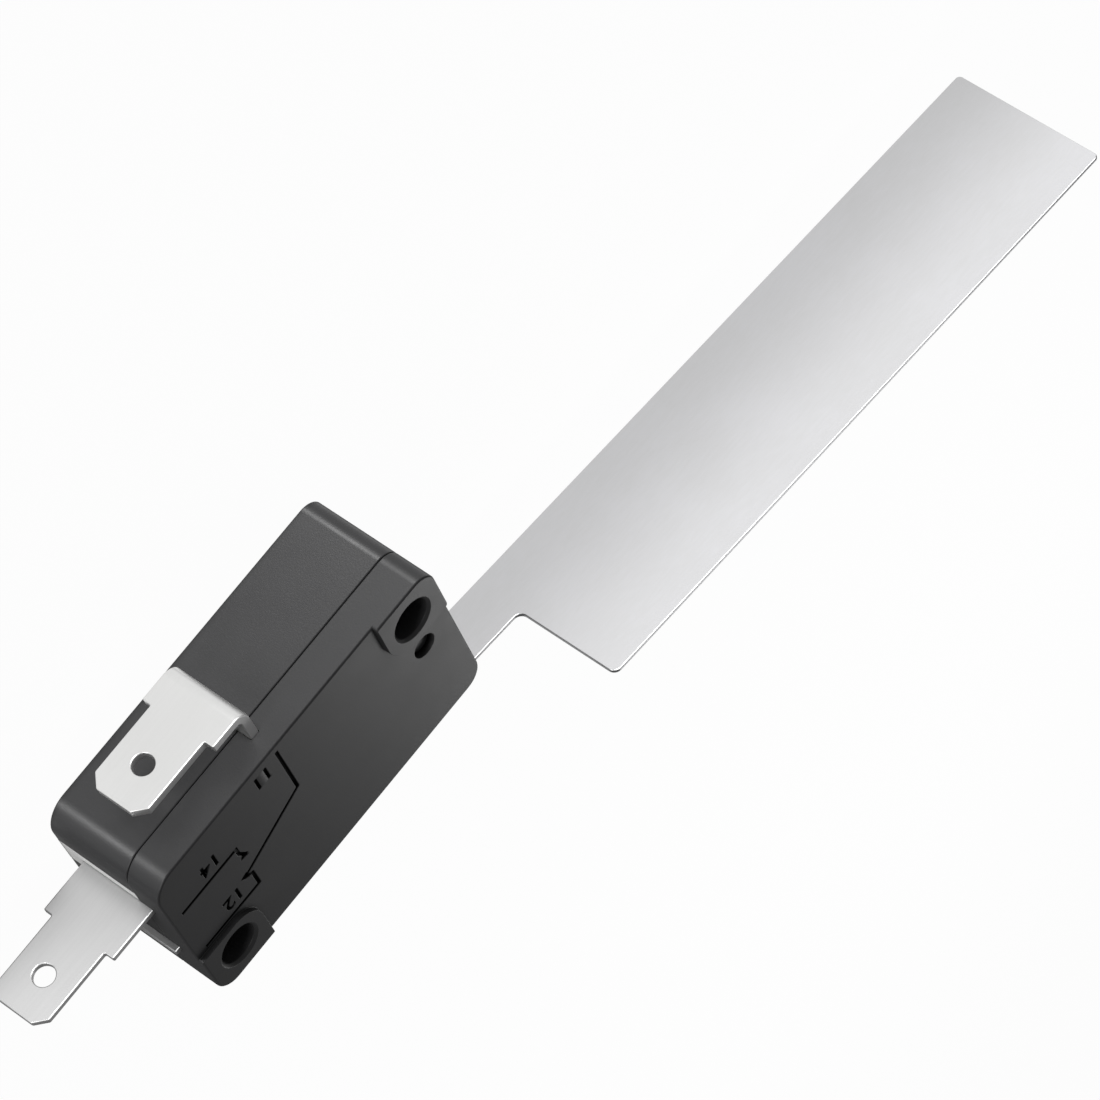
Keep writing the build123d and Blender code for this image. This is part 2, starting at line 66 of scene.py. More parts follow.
def grey(red, green=None, blue=None):
    """A colour from screen values of 0 to 255; one value gives a neutral grey."""
    green = red if green is None else green
    blue = red if blue is None else blue
    return (linear(red / 255), linear(green / 255), linear(blue / 255), 1.0)


print("a screen grey of 60 holds", round(grey(60)[0], 4), "of the light")

# %% [markdown]
# ## Sums on wires
#
# A procedural finish is a small graph of nodes. Adding each Math node by hand hides the idea
# behind a lot of typing, so a wire (one output socket) learns plain arithmetic here:
# `0.4 + 0.1 * grain` adds the Math nodes for us. Everything that isn't arithmetic comes from one
# method, `node`, which takes the node's type, its settings and what goes into its sockets.

# %% A wire that can be added and multiplied
class Wire:
    """One output socket of a finish."""

    def __init__(self, finish, socket):
        self.finish = finish
        self.socket = socket

    def math(self, operation, first, second):
        return self.finish.node("ShaderNodeMath", {"operation": operation}, {0: first, 1: second})

    def __add__(self, other):
        return self.math("ADD", self, other)

    def __radd__(self, other):
        return self.math("ADD", other, self)

    def __sub__(self, other):
        return self.math("SUBTRACT", self, other)

    def __rsub__(self, other):
        return self.math("SUBTRACT", other, self)

    def __mul__(self, other):
        return self.math("MULTIPLY", self, other)

    def __rmul__(self, other):
        return self.math("MULTIPLY", other, self)


print("a wire can be added, subtracted and multiplied")

# %% [markdown]
# ## A finish
#
# A finish is a material that starts empty. A Mix node keeps its sockets for numbers, vectors
# and colours side by side, so its colour sockets are picked by their place in the list. Noise
# and masks are read in the piece's own space, so they stay put when the piece swings.

# %% A finish that grows node by node
MIX_FACTOR = 0
MIX_FIRST = 6
MIX_SECOND = 7
MIX_RESULT = 2


class Finish:
    """A material, and the one method that adds nodes to it."""

    def __init__(self, name):
        self.material = bpy.data.materials.new(name)
        self.material.use_nodes = True
        self.tree = self.material.node_tree
        self.tree.nodes.clear()

    def node(self, kind, settings, sockets, give=0):
        made = self.tree.nodes.new(kind)
        for name, value in settings.items():
            setattr(made, name, value)
        for name, value in sockets.items():
            if isinstance(value, Wire):
                self.tree.links.new(value.socket, made.inputs[name])
            else:
                made.inputs[name].default_value = value
        if not made.outputs:
            return None
        return Wire(self, made.outputs[give])

    def place(self):
        """Where a point is on the piece, in metres."""
        return self.node("ShaderNodeTexCoord", {}, {}, give="Object")

    def along(self, vector, direction):
        """How far a place or a normal reaches along a direction."""
        return self.node("ShaderNodeVectorMath", {"operation": "DOT_PRODUCT"},
                         {0: vector, 1: direction}, give="Value")

    def facing(self, direction):
        """1 where the surface faces along a direction or against it, 0 where it is square to it."""
        normal = self.node("ShaderNodeTexCoord", {}, {}, give="Normal")
        return self.node("ShaderNodeMath", {"operation": "ABSOLUTE"}, {0: self.along(normal, direction)})

    def noise(self, scale, detail=2.0, stretch=(1.0, 1.0, 1.0), turn=0.0):
        """Cloudy values from 0 to 1. The scale is in clouds per metre."""
        laid = self.node("ShaderNodeMapping", {}, {
            "Vector": self.place(), "Rotation": (0.0, 0.0, turn), "Scale": stretch})
        return self.node("ShaderNodeTexNoise", {"noise_dimensions": "3D"}, {
            "Vector": laid, "Scale": scale, "Detail": detail, "Roughness": 0.55})

    def open_sky(self, reach):
        """1 on open faces, falling to 0 in corners and recesses narrower than this reach."""
        return self.node("ShaderNodeAmbientOcclusion", {"samples": 8}, {"Distance": reach}, give="AO")

    def ramp(self, value, low, high):
        """0 below low, 1 above high, and a smooth step between."""
        return self.node("ShaderNodeMapRange", {"interpolation_type": "SMOOTHSTEP"}, {
            "Value": value, "From Min": low, "From Max": high})

    def mix(self, factor, first, second, blend="MIX"):
        """Two colours mixed by a factor."""
        return self.node("ShaderNodeMix", {"data_type": "RGBA", "blend_type": blend}, {
            MIX_FACTOR: factor, MIX_FIRST: first, MIX_SECOND: second}, give=MIX_RESULT)

    def tint(self, mask, dark, light):
        """A colour that goes from dark to light as the mask goes from 0 to 1."""
        return self.mix(mask, grey(*dark), grey(*light))

    def fade(self, mask, darkest):
        """White where the mask is 1, and this screen grey where it is 0."""
        return self.mix(mask, grey(darkest), grey(255))

    def shaded(self, colour, shade):
        """A colour darkened by a shade, which leaves it as it is where it is white."""
        return self.mix(1.0, colour, shade, blend="MULTIPLY")

    def bump(self, height, depth):
        """A normal from a height, whose 0 to 1 is this many metres deep."""
        return self.node("ShaderNodeBump", {}, {
            "Height": height, "Distance": depth, "Strength": 1.0})

    def surface(self, sockets):
        """The surface itself, wired to the material's output."""
        shader = self.node("ShaderNodeBsdfPrincipled", {}, sockets)
        self.node("ShaderNodeOutputMaterial", {}, {"Surface": shader})
        return self.material


print("a finish can make:", ", ".join(name for name in vars(Finish) if not name.startswith("_")))

# %% [markdown]
# ## Black moulded plastic
#
# Case and cover are moulded in a steel tool whose walls were etched by sparks, which leaves a
# fine, even grain and a satin gloss. A photograph of grain would need a picture file. Three
# layers of noise do it here: pores of about 0.1 mm for the grain, patches of a few millimetres
# where the tool is a little more polished, and a faint change of shade. The cover was moulded
# apart from the case, so it gets its own shade.
#
# Grooves, corners and holes of a black part look darker than its walls, because less light
# finds its way in and out again. That shade is painted into the base colour here: an Ambient
# Occlusion node measures how shut in a point is, once over a short reach for the grooves and
# once over a long one for the holes, and darkens the colour there. The end walls are made duller
# than the rest, since a lamp would otherwise show in them as a pale patch. Smooth plastic has an
# index of refraction of about 1.5; a lower one weakens the shine, as grain does.

# %% Plastic finishes
PORES = 9500.0
PATCHES = 320.0
FLOW = 90.0
CORNER_REACH = 0.7 * MM
HOLE_REACH = 3.5 * MM
PLASTIC_IOR = 1.38
END_WALL_DULL = 0.34
ENDWAYS = (1.0, 0.0, 0.0)


def painted_recess_shade(finish):
    """Painted shade for the base colour: white on open walls, grey in corners and darker in holes."""
    corners = finish.fade(finish.ramp(finish.open_sky(CORNER_REACH), 0.35, 0.92), 70)
    holes = finish.fade(finish.ramp(finish.open_sky(HOLE_REACH), 0.05, 0.42), 40)
    return finish.shaded(corners, holes)


def moulded_plastic(name, dark, light, gloss, grain_depth):
    finish = Finish(name)
    pores = finish.noise(PORES, detail=3.0)
    patches = finish.noise(PATCHES)
    flow = finish.noise(FLOW, detail=1.0, stretch=(1.0, 1.0, 3.0))
    skin = finish.tint(finish.ramp(0.5 * patches + 0.5 * flow, 0.3, 0.7), dark, light)
    end_walls = finish.ramp(finish.facing(ENDWAYS), 0.80, 0.95)
    return finish.surface({
        # The base colour carries painted shade in corners, grooves and holes.
        "Base Color": finish.shaded(skin, painted_recess_shade(finish)),
        "Roughness": gloss + 0.10 * patches + 0.06 * pores + END_WALL_DULL * end_walls,
        "Normal": finish.bump(pores, grain_depth),
        "IOR": PLASTIC_IOR,
    })


case_plastic = moulded_plastic("case_plastic", (50, 50, 51), (54, 54, 55), 0.30, 0.006 * MM)
cover_plastic = moulded_plastic("cover_plastic", (48, 48, 49), (52, 52, 53), 0.34, 0.006 * MM)
pale_plastic = moulded_plastic("pale_plastic", (232, 232, 231), (240, 240, 239), 0.42, 0.008 * MM)
plunger_plastic = moulded_plastic("plunger_plastic", (38, 38, 39), (44, 44, 45), 0.28, 0.004 * MM)
print("plastics:", case_plastic.name, cover_plastic.name, pale_plastic.name, plunger_plastic.name)

# %% [markdown]
# ## Sheet metal
#
# The terminals are stamped from tin-plated brass and the sail from thin bright sheet. Rolled
# sheet has faint streaks along the rolling direction, so the noise is squeezed across it and
# stretched along it. A sheared edge is duller and darker than the face. The surface's own
# normal tells the two apart: on the face it points square to the sheet.
#
# A painted shade can also run slowly across a broad sheet from one side to the other, in place
# of the light falling off over it. An optional sweep gives its direction, where the change starts
# and ends in metres, and the darkest screen grey.

# %% A metal finish
STREAKS = 5200.0
CLOUDS = 110.0


def on_faces(finish, face_ways):
    """1 on the sheet's broad faces, 0 on its sheared edges."""
    nearest = finish.facing(face_ways[0])
    for way in face_ways[1:]:
        nearest = finish.node("ShaderNodeMath", {"operation": "MAXIMUM"},
                              {0: nearest, 1: finish.facing(way)})
    return finish.ramp(nearest, 0.55, 0.85)


def sheet_metal(name, dark, light, edge, gloss, face_ways, squeeze=0.05, turn=0.0,
                streak_depth=0.002 * MM, painted_shade_sweep=None):
    finish = Finish(name)
    streaks = finish.noise(STREAKS, detail=3.0, stretch=(squeeze, 1.0, 1.0), turn=turn)
    clouds = finish.noise(CLOUDS)
    on_face = on_faces(finish, face_ways)
    skin = finish.tint(finish.ramp(0.45 * streaks + 0.55 * clouds, 0.32, 0.68), dark, light)
    # Painted shade: the colour darkens across the sheet along one direction, for the way light falls on
    # it.
    if painted_shade_sweep:
        way, low, high, darkest = painted_shade_sweep
        across = finish.along(finish.place(), way)
        skin = finish.shaded(skin, finish.fade(finish.ramp(across, low, high), darkest))
    return finish.surface({
        "Base Color": finish.mix(on_face, grey(*edge), skin),
        "Metallic": 1.0,
        "Roughness": gloss + 0.08 * clouds + 0.05 * streaks + 0.16 * (1 - on_face),
        "Normal": finish.bump(streaks, streak_depth),
    })


print("streaks are", round(1 / (STREAKS * MM), 2), "mm apart")

# %% Metal finishes
ACROSS = (0.0, 1.0, 0.0)
SAIL_TURN = math.radians(8.3)
SAIL_NORMAL = (math.sin(SAIL_TURN), math.cos(SAIL_TURN), 0.0)

terminal_metal = sheet_metal(
    "terminal_metal", (219, 219, 218), (223, 223, 222), (172, 172, 172), 0.30,
    [ACROSS, ENDWAYS], streak_depth=0.0006 * MM)
# The end tabs: a slightly darker copy of the same tin plating, with painted shade across it.
shaded_end_tab_metal = sheet_metal(
    "shaded_end_tab_metal", (212, 212, 212), (218, 218, 218), (160, 160, 160), 0.32,
    [ACROSS, ENDWAYS], streak_depth=0.0006 * MM, painted_shade_sweep=((1.0, 0.0, 0.6), 0.007, 0.016, 240))
# The sail: painted shade makes the sheet darker low down and lighter towards its top.
sail_metal = sheet_metal(
    "sail_metal", (225, 225, 226), (229, 229, 231), (140, 140, 141), 0.24,
    [SAIL_NORMAL], squeeze=0.03, turn=-SAIL_TURN, streak_depth=0.0005 * MM,
    painted_shade_sweep=((-0.03, 0.0, 1.0), 0.0045, 0.0175, 219))
spring_metal = sheet_metal(
    "spring_metal", (186, 146, 104), (204, 165, 121), (150, 112, 78), 0.30, [ACROSS])
contact_silver = sheet_metal(
    "contact_silver", (205, 203, 198), (226, 224, 219), (190, 188, 184), 0.26, [ACROSS], squeeze=1.0)
print("metals:", terminal_metal.name, shaded_end_tab_metal.name, sail_metal.name)
print("metals inside:", spring_metal.name, contact_silver.name)

# %% [markdown]
# ## The parts sealed inside
#
# The blade, the bow spring and the contact rivets sit behind the cover and keep their CAD
# meshes. They still get their own metals, because someone may open the switch in a cutaway.

# %% Finishes of the inner parts
def paint(thing, material):
    thing.data.materials.clear()
    thing.data.materials.append(material)


INNER_PARTS = {
    "contact_blade": spring_metal,
    "bow_spring": spring_metal,
    "moving_contact": contact_silver,
    "normally_open_contact": contact_silver,
    "normally_closed_contact": contact_silver,
}
for name, metal in INNER_PARTS.items():
    paint(nodes[name], metal)
print("inner parts painted:", len(INNER_PARTS))

# %% [markdown]
# ## A copy to work on
#
# The CAD meshes stay as they are, so each piece that is seen starts as a copy of its solid's
# mesh. Such a mesh comes as many thin triangles, and a bevel needs clean outlines, so the copy
# is welded and the facets that lie in one plane are joined into one face. A face with a round
# hole is first cut straight through the middle of the hole: as one face it would be filled with
# triangles that graze the hole and shade badly.

# %% A welded copy
WELD_GAP = 0.002 * MM
ON_THE_CUT = 0.0001 * MM
SAME_PLANE = math.radians(0.6)


def cut_through(net, height):
    """Cuts all faces at this height, and marks the cut so that no later step takes it away."""
    cut = bmesh.ops.bisect_plane(
        net, geom=net.verts[:] + net.edges[:] + net.faces[:], dist=ON_THE_CUT,
        plane_co=(0.0, 0.0, height), plane_no=(0.0, 0.0, 1.0))
    for item in cut["geom_cut"]:
        if isinstance(item, bmesh.types.BMEdge):
            item.seam = True


def weld(mesh, split_at=None):
    """Joins doubled points and merges facets that lie in one plane."""
    net = bmesh.new()
    net.from_mesh(mesh)
    bmesh.ops.remove_doubles(net, verts=net.verts[:], dist=WELD_GAP)
    if split_at is not None:
        cut_through(net, split_at)
    bmesh.ops.dissolve_limit(net, angle_limit=SAME_PLANE, use_dissolve_boundaries=False,
                             verts=net.verts[:], edges=net.edges[:], delimit={"SEAM"})
    net.to_mesh(mesh)
    net.free()
    own_normals = mesh.attributes.get("custom_normal")
    if own_normals is not None:
        mesh.attributes.remove(own_normals)


def dressed(node, name, split_at=None):
    """A welded copy of a CAD node, ready to be worked on."""
    mesh = nodes[node].data.copy()
    mesh.name = name
    weld(mesh, split_at)
    piece = bpy.data.objects.new(name, mesh)
    bpy.context.scene.collection.objects.link(piece)
    print(name, "starts with", len(mesh.polygons), "faces instead of", len(nodes[node].data.polygons))
    return piece


# %% [markdown]
# ## Rolled edges
#
# No moulded or stamped edge is perfectly sharp: a thin line of light runs along it, and that
# line is much of what makes a small part look real. A Bevel modifier rolls every edge that
# turns by more than the fillets' own facets do. Edges that the real tool rounds more, such as
# the seam of a housing, get a weight first and a wider bevel of their own. Each modifier is
# settled at once, because the next one needs the mesh that it leaves.

# %% Bevels
SHARP = math.radians(32.0)
BEVEL_STEPS = 3


def settle(piece):
    """Turns the piece's modifiers into plain mesh."""
    graph = bpy.context.evaluated_depsgraph_get()
    finished = bpy.data.meshes.new_from_object(piece.evaluated_get(graph), depsgraph=graph)
    piece.modifiers.clear()
    piece.data = finished


def bevel_edges(piece, radius, how):
    bevel = piece.modifiers.new("rolled_edges", "BEVEL")
    bevel.width = radius
    bevel.segments = BEVEL_STEPS
    bevel.limit_method = how
    bevel.angle_limit = SHARP
    bevel.use_clamp_overlap = False
    bevel.miter_outer = "MITER_ARC"
    settle(piece)


def weigh_edges(piece, chosen):
    """Gives the chosen sharp edges a weight, so that one bevel takes them alone."""
    net = bmesh.new()
    net.from_mesh(piece.data)
    weight = net.edges.layers.float.new("bevel_weight_edge")
    weighed = 0
    for edge in net.edges:
        sharp = edge.is_manifold and edge.calc_face_angle() > SHARP
        if sharp and all(chosen(point.co / MM) for point in edge.verts):
            edge[weight] = 1.0
            weighed += 1
    net.to_mesh(piece.data)
    net.free()
    print(piece.name, "has", weighed, "edges that get a wider roll")


def roll_chosen(piece, radius, chosen):
    """Rolls only the edges whose two ends are chosen."""
    weigh_edges(piece, chosen)
    bevel_edges(piece, radius, "WEIGHT")
    own_weight = piece.data.attributes.get("bevel_weight_edge")
    if own_weight is not None:
        piece.data.attributes.remove(own_weight)


# %% [markdown]
# ## Flat faces that stay flat
#
# Smooth shading would bend the light on a broad face towards its rolled rim. Weighted normals
# let the broad face win, and leave it off by a fraction of a degree here and there. On a bright
# sheet even that shows, so normals that are nearly a flat face's own are made exactly its own.

# %% Normals
NEARLY_FLAT = math.radians(1.2)
BROAD_FACE_WEIGHT = 90


def true_up(mesh):
    """Makes corner normals exact where they are nearly those of a flat face."""
    normals = [Vector(corner.vector) for corner in mesh.corner_normals]
    for face in mesh.polygons:
        for corner in face.loop_indices:
            if normals[corner].angle(face.normal, math.pi) < NEARLY_FLAT:
                normals[corner] = face.normal.copy()
    mesh.normals_split_custom_set(normals)


def roll_edges(piece, radius):
    """Rolls the piece's sharp edges to a small radius and keeps its faces flat."""
    bevel_edges(piece, radius, "ANGLE")
    for face in piece.data.polygons:
        face.use_smooth = True
    flat = piece.modifiers.new("flat_faces", "WEIGHTED_NORMAL")
    flat.keep_sharp = True
    flat.weight = BROAD_FACE_WEIGHT
    settle(piece)
    true_up(piece.data)
    print(piece.name, "has", len(piece.data.polygons), "faces after its edges were rolled")


def fit_out(piece, material, body, node):
    """Paints a piece, hangs it on its body and hides the CAD node that it replaces."""
    paint(piece, material)
    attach(piece, body)
    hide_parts(node)


# %% [markdown]
# ## The case
#
# The case is the deeper half of the housing. Its long fillets carry the bands of light that
# say most about the moulding, and its parting edge meets the cover in a thin dark line. That
# line is the gap between two rolled edges, so both get a wider roll than the rest.

# %% The housing's outline
def span(node, axis):
    """Where a solid starts and ends along an axis, in millimetres."""
    places = [point.co[axis] / MM for point in nodes[node].data.vertices]
    return round(min(places), 3), round(max(places), 3)


LOW_X, HIGH_X = span("case", 0)
LOW_Y, HIGH_Y = span("case", 1)
PARTING = span("cover", 2)[0]
ON_WALL = 0.02
AT_HEIGHT = 0.01
CORNER_SIDE = 3.4
CORNER_DEEP = 1.0


def on_outline(point):
    """True where a point in millimetres lies on the housing's outer wall."""
    near_x = min(point.x - LOW_X, HIGH_X - point.x)
    near_y = min(point.y - LOW_Y, HIGH_Y - point.y)
    nearest = min(near_x, near_y)
    in_corner = near_x < CORNER_SIDE and near_y < CORNER_SIDE and nearest < CORNER_DEEP
    return nearest < ON_WALL or in_corner


def at_parting(point):
    return abs(point.z - PARTING) < AT_HEIGHT and on_outline(point)


print("the housing is", HIGH_X - LOW_X, "by", HIGH_Y - LOW_Y, "mm and parts at", PARTING)

# %% Case
CASE_ROLL = 0.04 * MM
CASE_SEAM_ROLL = 0.13 * MM

case = dressed("case", "case_shell")
roll_chosen(case, CASE_SEAM_ROLL, at_parting)
roll_edges(case, CASE_ROLL)
fit_out(case, case_plastic, "housing", "case")

# %% [markdown]
# ## The circuit diagram in the cover
#
# The cover carries a small wiring diagram, sunk into the plastic: three lines that end in the
# changeover contact. Drawing it with a texture would fade in a close view, so it is cut. Each
# line is a thin prism that follows its points with mitred corners, and a Boolean modifier
# takes all prisms out of the cover in one go. Plain digits mark the three lines.

# %% Prisms for the grooves
PAD_HIGH = 0.4
FACE = span("cover", 2)[1] - PAD_HIGH
GROOVE_WIDE = 0.28
GROOVE_FLOOR = FACE - 0.40
CUT_TOP = FACE + 0.3
LEAST_MITRE = 0.35


def prism(net, outline):
    """Adds a closed prism over an outline of (x, y) points given in millimetres."""
    low = [net.verts.new((x * MM, y * MM, GROOVE_FLOOR * MM)) for x, y in outline]
    high = [net.verts.new((x * MM, y * MM, CUT_TOP * MM)) for x, y in outline]
    count = len(outline)
    net.faces.new(list(reversed(low)))
    net.faces.new(high)
    for here in range(count):
        there = (here + 1) % count
        net.faces.new((low[here], low[there], high[there], high[here]))


def stroke(points):
    """The outline of a groove along these points, with mitred corners and square ends."""
    spots = [Vector(point) for point in points]
    ways = [(b - a).normalized() for a, b in zip(spots, spots[1:])]
    left, right = [], []
    for index, spot in enumerate(spots):
        before = ways[max(index - 1, 0)]
        after = ways[min(index, len(ways) - 1)]
        middle = (before + after).normalized()
        side = Vector((-middle.y, middle.x))
        reach = 0.5 * GROOVE_WIDE / max(LEAST_MITRE, side.dot(Vector((-after.y, after.x))))
        left.append(spot + side * reach)
        right.append(spot - side * reach)
    return [tuple(point) for point in right + list(reversed(left))]


print("grooves go from", round(CUT_TOP, 2), "down to", round(GROOVE_FLOOR, 2), "mm")

# %% Digits from Blender's own font
DIGIT_TALL = 1.35


def digit_shape(digit):
    """The digits as a closed mesh one unit thick, from a text object."""
    words = bpy.data.curves.new("digit", "FONT")
    words.body = digit
    words.extrude = 0.5
    words.offset = 0.02
    words.align_x = "CENTER"
    words.resolution_u = 3
    holder = bpy.data.objects.new("digit", words)
    bpy.context.scene.collection.objects.link(holder)
    graph = bpy.context.evaluated_depsgraph_get()
    shape = bpy.data.meshes.new_from_object(holder.evaluated_get(graph), depsgraph=graph)
    bpy.data.objects.remove(holder)
    return shape


def digit_prisms(net, digit, centre):
    """Adds the prisms of some digits round a centre on the cover, in millimetres."""
    shape = digit_shape(digit)
    xs = [point.co.x for point in shape.vertices]
    ys = [point.co.y for point in shape.vertices]
    scale = DIGIT_TALL / (max(ys) - min(ys))
    middle = Vector(((max(xs) + min(xs)) / 2, (max(ys) + min(ys)) / 2, 0.0))
    place = Vector((centre[0], centre[1], (GROOVE_FLOOR + CUT_TOP) / 2)) * MM
    size = (scale * MM, scale * MM, (CUT_TOP - GROOVE_FLOOR) * MM, 1.0)
    shape.transform(Matrix.Translation(place) @ Matrix.Diagonal(size) @ Matrix.Translation(-middle))
    net.from_mesh(shape)
    bpy.data.meshes.remove(shape)


print("digits are", DIGIT_TALL, "mm tall")

# %% The whole diagram as one cutter
CONTACT = (-3.02, -4.72)
LINES = [
    [(-9.52, -12.46), (-9.52, -7.19), CONTACT],
    [(1.84, -8.19), (-3.60, -8.19), (-3.60, -7.49), (-3.99, -6.76)],
    [(1.78, -2.75), (-3.69, -2.75), (-3.69, -4.41), CONTACT],
]
MARKS = [
    [(-3.37, -4.35), (-2.64, -4.89), (-3.33, -5.10)],
    [(-3.73, -7.05), (-3.46, -6.65), (-4.15, -6.50), (-4.20, -6.85)],
]
DIGITS = {"11": (-7.76, -11.59), "14": (-1.41, -9.53), "12": (-1.46, -4.04)}
CUTTER_WELD = 0.0005 * MM


def diagram_cutter():
    """A hidden object that holds every groove of the diagram."""
    net = bmesh.new()
    for outline in [stroke(points) for points in LINES] + MARKS:
        prism(net, outline)
    for digit, centre in DIGITS.items():
        digit_prisms(net, digit, centre)
    bmesh.ops.remove_doubles(net, verts=net.verts[:], dist=CUTTER_WELD)
    bmesh.ops.recalc_face_normals(net, faces=net.faces[:])
    mesh = bpy.data.meshes.new("diagram")
    net.to_mesh(mesh)
    net.free()
    tool = bpy.data.objects.new("diagram", mesh)
    bpy.context.scene.collection.objects.link(tool)
    return tool


def carve(piece, tool):
    """Takes the tool's volume out of the piece and throws the tool away."""
    cut = piece.modifiers.new("carve", "BOOLEAN")
    cut.operation = "DIFFERENCE"
    cut.solver = "EXACT"
    cut.use_self = True
    cut.object = tool
    settle(piece)
    bpy.data.objects.remove(tool)
    print(piece.name, "has", len(piece.data.polygons), "faces after the cut")


# %% [markdown]
# ## The cover
#
# The cover closes the housing. It is carved first and rolled afterwards, so that the grooves
# get soft rims too. Its seam and the rim of its face are rolled more than its other edges.

# %% Cover
COVER_ROLL = 0.035 * MM
COVER_SEAM_ROLL = 0.11 * MM
FACE_RIM_ROLL = 0.16 * MM


def at_face_rim(point):
    return point.z > FACE - AT_HEIGHT and on_outline(point)


cover = dressed("cover", "cover_shell")
carve(cover, diagram_cutter())
roll_chosen(cover, COVER_SEAM_ROLL, at_parting)
roll_chosen(cover, FACE_RIM_ROLL, at_face_rim)
roll_edges(cover, COVER_ROLL)
fit_out(cover, cover_plastic, "housing", "cover")

# %% [markdown]
# ## The pale strip between the terminals
#
# Beside the terminal that stands out of the end wall sits a separate strip of pale plastic,
# which keeps the two end terminals apart.

# %% Pale strip
STRIP_ROLL = 0.05 * MM

strip = dressed("terminal_insert", "pale_strip")
roll_edges(strip, STRIP_ROLL)
fit_out(strip, pale_plastic, "housing", "terminal_insert")

# %% [markdown]
# ## Terminals
#
# The push-on tabs are stamped, so one rim of each edge is drawn down smooth by the punch. The
# roll here is about a fifth of the thinner sheet. All three stand at the same height in the
# housing, so one height splits each tab's face through the middle of its hole.

# %% Terminals
TAB_ROLL = 0.11 * MM
TAB_MIDDLE = sum(span("common_terminal", 2)) / 2 * MM

metal_pieces = []
for node in ("common_terminal", "normally_open_terminal", "normally_closed_terminal"):
    tab = dressed(node, node.replace("terminal", "tab"), split_at=TAB_MIDDLE)
    roll_edges(tab, TAB_ROLL)
    # The end tabs take the darker copy of the plating, which carries painted shade.
    plating = terminal_metal if node == "common_terminal" else shaded_end_tab_metal
    fit_out(tab, plating, "housing", node)
    metal_pieces.append(tab)

# %% [markdown]
# ## Sail and plunger
#
# The sail is a thin sheet that ends in a crank inside the case. It turns on its ears, so it
# rides on its own body, and the plunger under it rides on another.

# %% Sail and plunger
SAIL_ROLL = 0.10 * MM
PLUNGER_ROLL = 0.05 * MM

sail = dressed("sail", "sail_sheet")
roll_edges(sail, SAIL_ROLL)
fit_out(sail, sail_metal, "sail_lever", "sail")
metal_pieces.append(sail)

pin = dressed("plunger", "plunger_button")
roll_edges(pin, PLUNGER_ROLL)
fit_out(pin, plunger_plastic, "plunger_pin", "plunger")

# %% [markdown]
# ## The table
#
# The switch lies on a plain white table. What the camera sees of the table is nearly all plain
# white, with a little of the lit paper mixed in, so that a soft shadow of the switch stays.
# Metal must see the same table in its reflection, so glossy rays get it too.
#
# A studio puts a dark card beside bright metal to give its edges something to mirror. Here the
# card is a region of the table, past the end wall on the terminals' side, that only glossy rays
# find dark. The white must not count as a lamp, or it would be sampled as one, so that is
# switched off.

# %% White table
CARD_START = (2.5 * MM, 5.5 * MM)
CARD_FRONT = (-15.0 * MM, -10.0 * MM)
CARD_DARK = 0.8
PLAIN_WHITE = 0.97


def ray_is(finish, kind):
    return finish.node("ShaderNodeLightPath", {}, {}, give=kind)


def white_table():
    finish = Finish("white_table")
    glossy = ray_is(finish, "Is Glossy Ray")
    looking = ray_is(finish, "Is Camera Ray") + glossy + ray_is(finish, "Is Transmission Ray")
    past_end = finish.ramp(finish.along(finish.place(), ENDWAYS), *CARD_START)
    before_front = finish.ramp(finish.along(finish.place(), ACROSS), *CARD_FRONT)
    paper = finish.node("ShaderNodeBsdfPrincipled", {}, {
        "Base Color": finish.tint(finish.noise(40.0), (238, 238, 238), (243, 243, 243)),
        "Roughness": 1.0, "Specular IOR Level": 0.0})
    white = finish.node("ShaderNodeEmission", {}, {"Color": grey(255), "Strength": 1.0})
    card = finish.node("ShaderNodeEmission", {}, {"Color": grey(0), "Strength": 1.0})
    seen = finish.node("ShaderNodeMixShader", {}, {
        0: CARD_DARK * past_end * before_front * glossy, 1: white, 2: card})
    mixed = finish.node("ShaderNodeMixShader", {}, {
        0: PLAIN_WHITE * finish.ramp(looking, 0.0, 1.0), 1: paper, 2: seen})
    finish.node("ShaderNodeOutputMaterial", {}, {"Surface": mixed})
    finish.material.cycles.emission_sampling = "NONE"
    return finish.material


TABLE_RADIUS = 6.0
TABLE_DROP = 0.02 * MM
net = bmesh.new()
bmesh.ops.create_circle(net, cap_ends=True, segments=96, radius=TABLE_RADIUS)
floor_mesh = bpy.data.meshes.new("floor")
net.to_mesh(floor_mesh)
net.free()
floor = bpy.data.objects.new("floor", floor_mesh)
floor.location.z = -TABLE_DROP
bpy.context.scene.collection.objects.link(floor)
paint(floor, white_table())
print("the table is", 2 * TABLE_RADIUS, "m wide")

# %% [markdown]
# ## Lamps
#
# A white room fills the shadows, and each soft box does one job. The box at the near side
# stands beyond the terminals and lights the end wall that they leave by. The small one over the
# far end stands where the cover's face mirrors it, and gives that face a soft shine.
#
# Light linking lets a lamp light only some pieces: the two boxes in front light the metal
# alone, since they would turn the black plastic grey. The three low boxes stand under the table
# top and draw the bands of light on the underside and its long fillets. They light the plastic
# alone, and only the plastic shades them, so neither the table nor a tab stands in their way.

# %% Room and lamps
MIDDLE = (-0.012, -0.005, 0.006)


def room(strength):
    world = bpy.data.worlds.new("studio")
    world.use_nodes = True
    background = world.node_tree.nodes["Background"]
    background.inputs["Color"].default_value = grey(255)
    background.inputs["Strength"].default_value = strength
    bpy.context.scene.world = world


def gathered(name, things):
    """A collection that a lamp can be linked to."""
    group = bpy.data.collections.new(name)
    for thing in things:
        group.objects.link(thing)
    return group


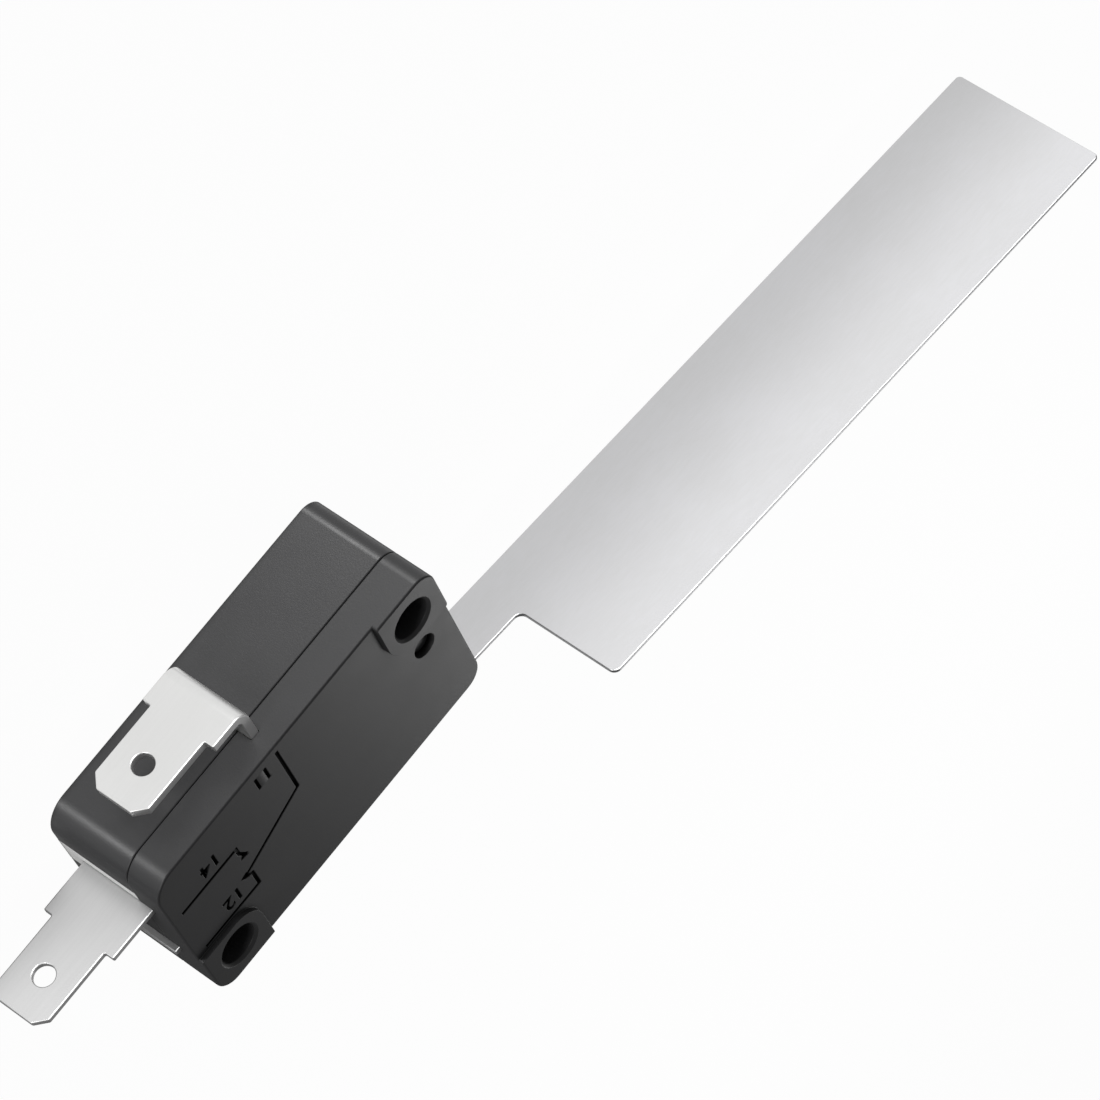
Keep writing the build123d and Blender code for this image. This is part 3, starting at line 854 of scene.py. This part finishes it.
def soft_box(name, place, wide, tall, watts, aim=MIDDLE, lights=None, shaded_by=None):
    """A soft box that looks at a point, and may light or be shaded by some pieces alone."""
    light = bpy.data.lights.new(name, "AREA")
    light.shape = "RECTANGLE"
    light.size = wide
    light.size_y = tall
    light.energy = watts
    lamp = bpy.data.objects.new(name, light)
    lamp.rotation_euler = (Vector(aim) - Vector(place)).to_track_quat("-Z", "Y").to_euler()
    lamp.location = place
    lamp.light_linking.receiver_collection = lights
    lamp.light_linking.blocker_collection = shaded_by
    bpy.context.scene.collection.objects.link(lamp)
    print("lamp", name, "gives", watts, "W")


def low_box(name, place, side, watts, aim):
    """A square soft box under the table top, for the plastic alone."""
    soft_box(name, place, side, side, watts, aim, lights=plastic_group, shaded_by=plastic_group)


plastic_group = gathered("black_pieces", [case, cover])
metal_group = gathered("metal_pieces", metal_pieces)
room(0.20)
soft_box("near_side", (0.38, -0.30, 0.06), 0.30, 0.12, 0.8)
soft_box("over_far_end", (-0.075, 0.10, 0.075), 0.06, 0.06, 0.042)
soft_box("front", (-0.12, -0.60, 0.20), 0.40, 0.20, 1.5, lights=metal_group)
soft_box("over_front", (-0.15, -0.35, 0.45), 0.60, 0.60, 5.0, lights=metal_group)
low_box("far_low", (-0.088, -0.128, -0.063), 0.016, 0.100, aim=(-0.022, -0.013, 0.004))
low_box("near_low", (0.060, -0.135, -0.063), 0.012, 0.080, aim=(0.001, -0.011, 0.004))
low_box("front_low", (-0.010, -0.30, -0.14), 0.20, 0.07, aim=(-0.012, -0.013, 0.004))

# %% [markdown]
# ## The camera
#
# The picture was taken with a long lens from above the terminals, with the camera rolled over.
# Three angles say so more plainly than a matrix: how far round the camera stands from the X
# axis, how high it stands over the table, and how far it is rolled. It is turned at the point
# that it looks at, and then backs away from it along its own axis.

# %% Camera
CAMERA_AIM = (-35.946 * MM, 8.235 * MM, 5.0 * MM)
CAMERA_AWAY = 404.87 * MM
CAMERA_ROUND = -75.423
CAMERA_HIGH = 26.561
CAMERA_ROLL = 122.796
LENS_LENGTH = 193.8


def turned(degrees, axis):
    return Matrix.Rotation(math.radians(degrees), 4, axis)


lens = bpy.data.cameras.new("camera")
lens.sensor_width = 36.0
lens.lens = LENS_LENGTH
lens.clip_start = 0.01
lens.clip_end = 20.0
camera = bpy.data.objects.new("camera", lens)
camera.matrix_world = (
    Matrix.Translation(CAMERA_AIM) @ turned(CAMERA_ROUND + 90.0, "Z") @ turned(90.0 - CAMERA_HIGH, "X")
    @ turned(CAMERA_ROLL, "Z") @ Matrix.Translation((0.0, 0.0, CAMERA_AWAY)))
bpy.context.scene.collection.objects.link(camera)
bpy.context.scene.camera = camera
bpy.context.scene.view_settings.view_transform = "Standard"
print("the camera stands at", [round(value, 4) for value in camera.matrix_world.translation])

# %% Bring the scene up to date
bpy.context.view_layer.update()
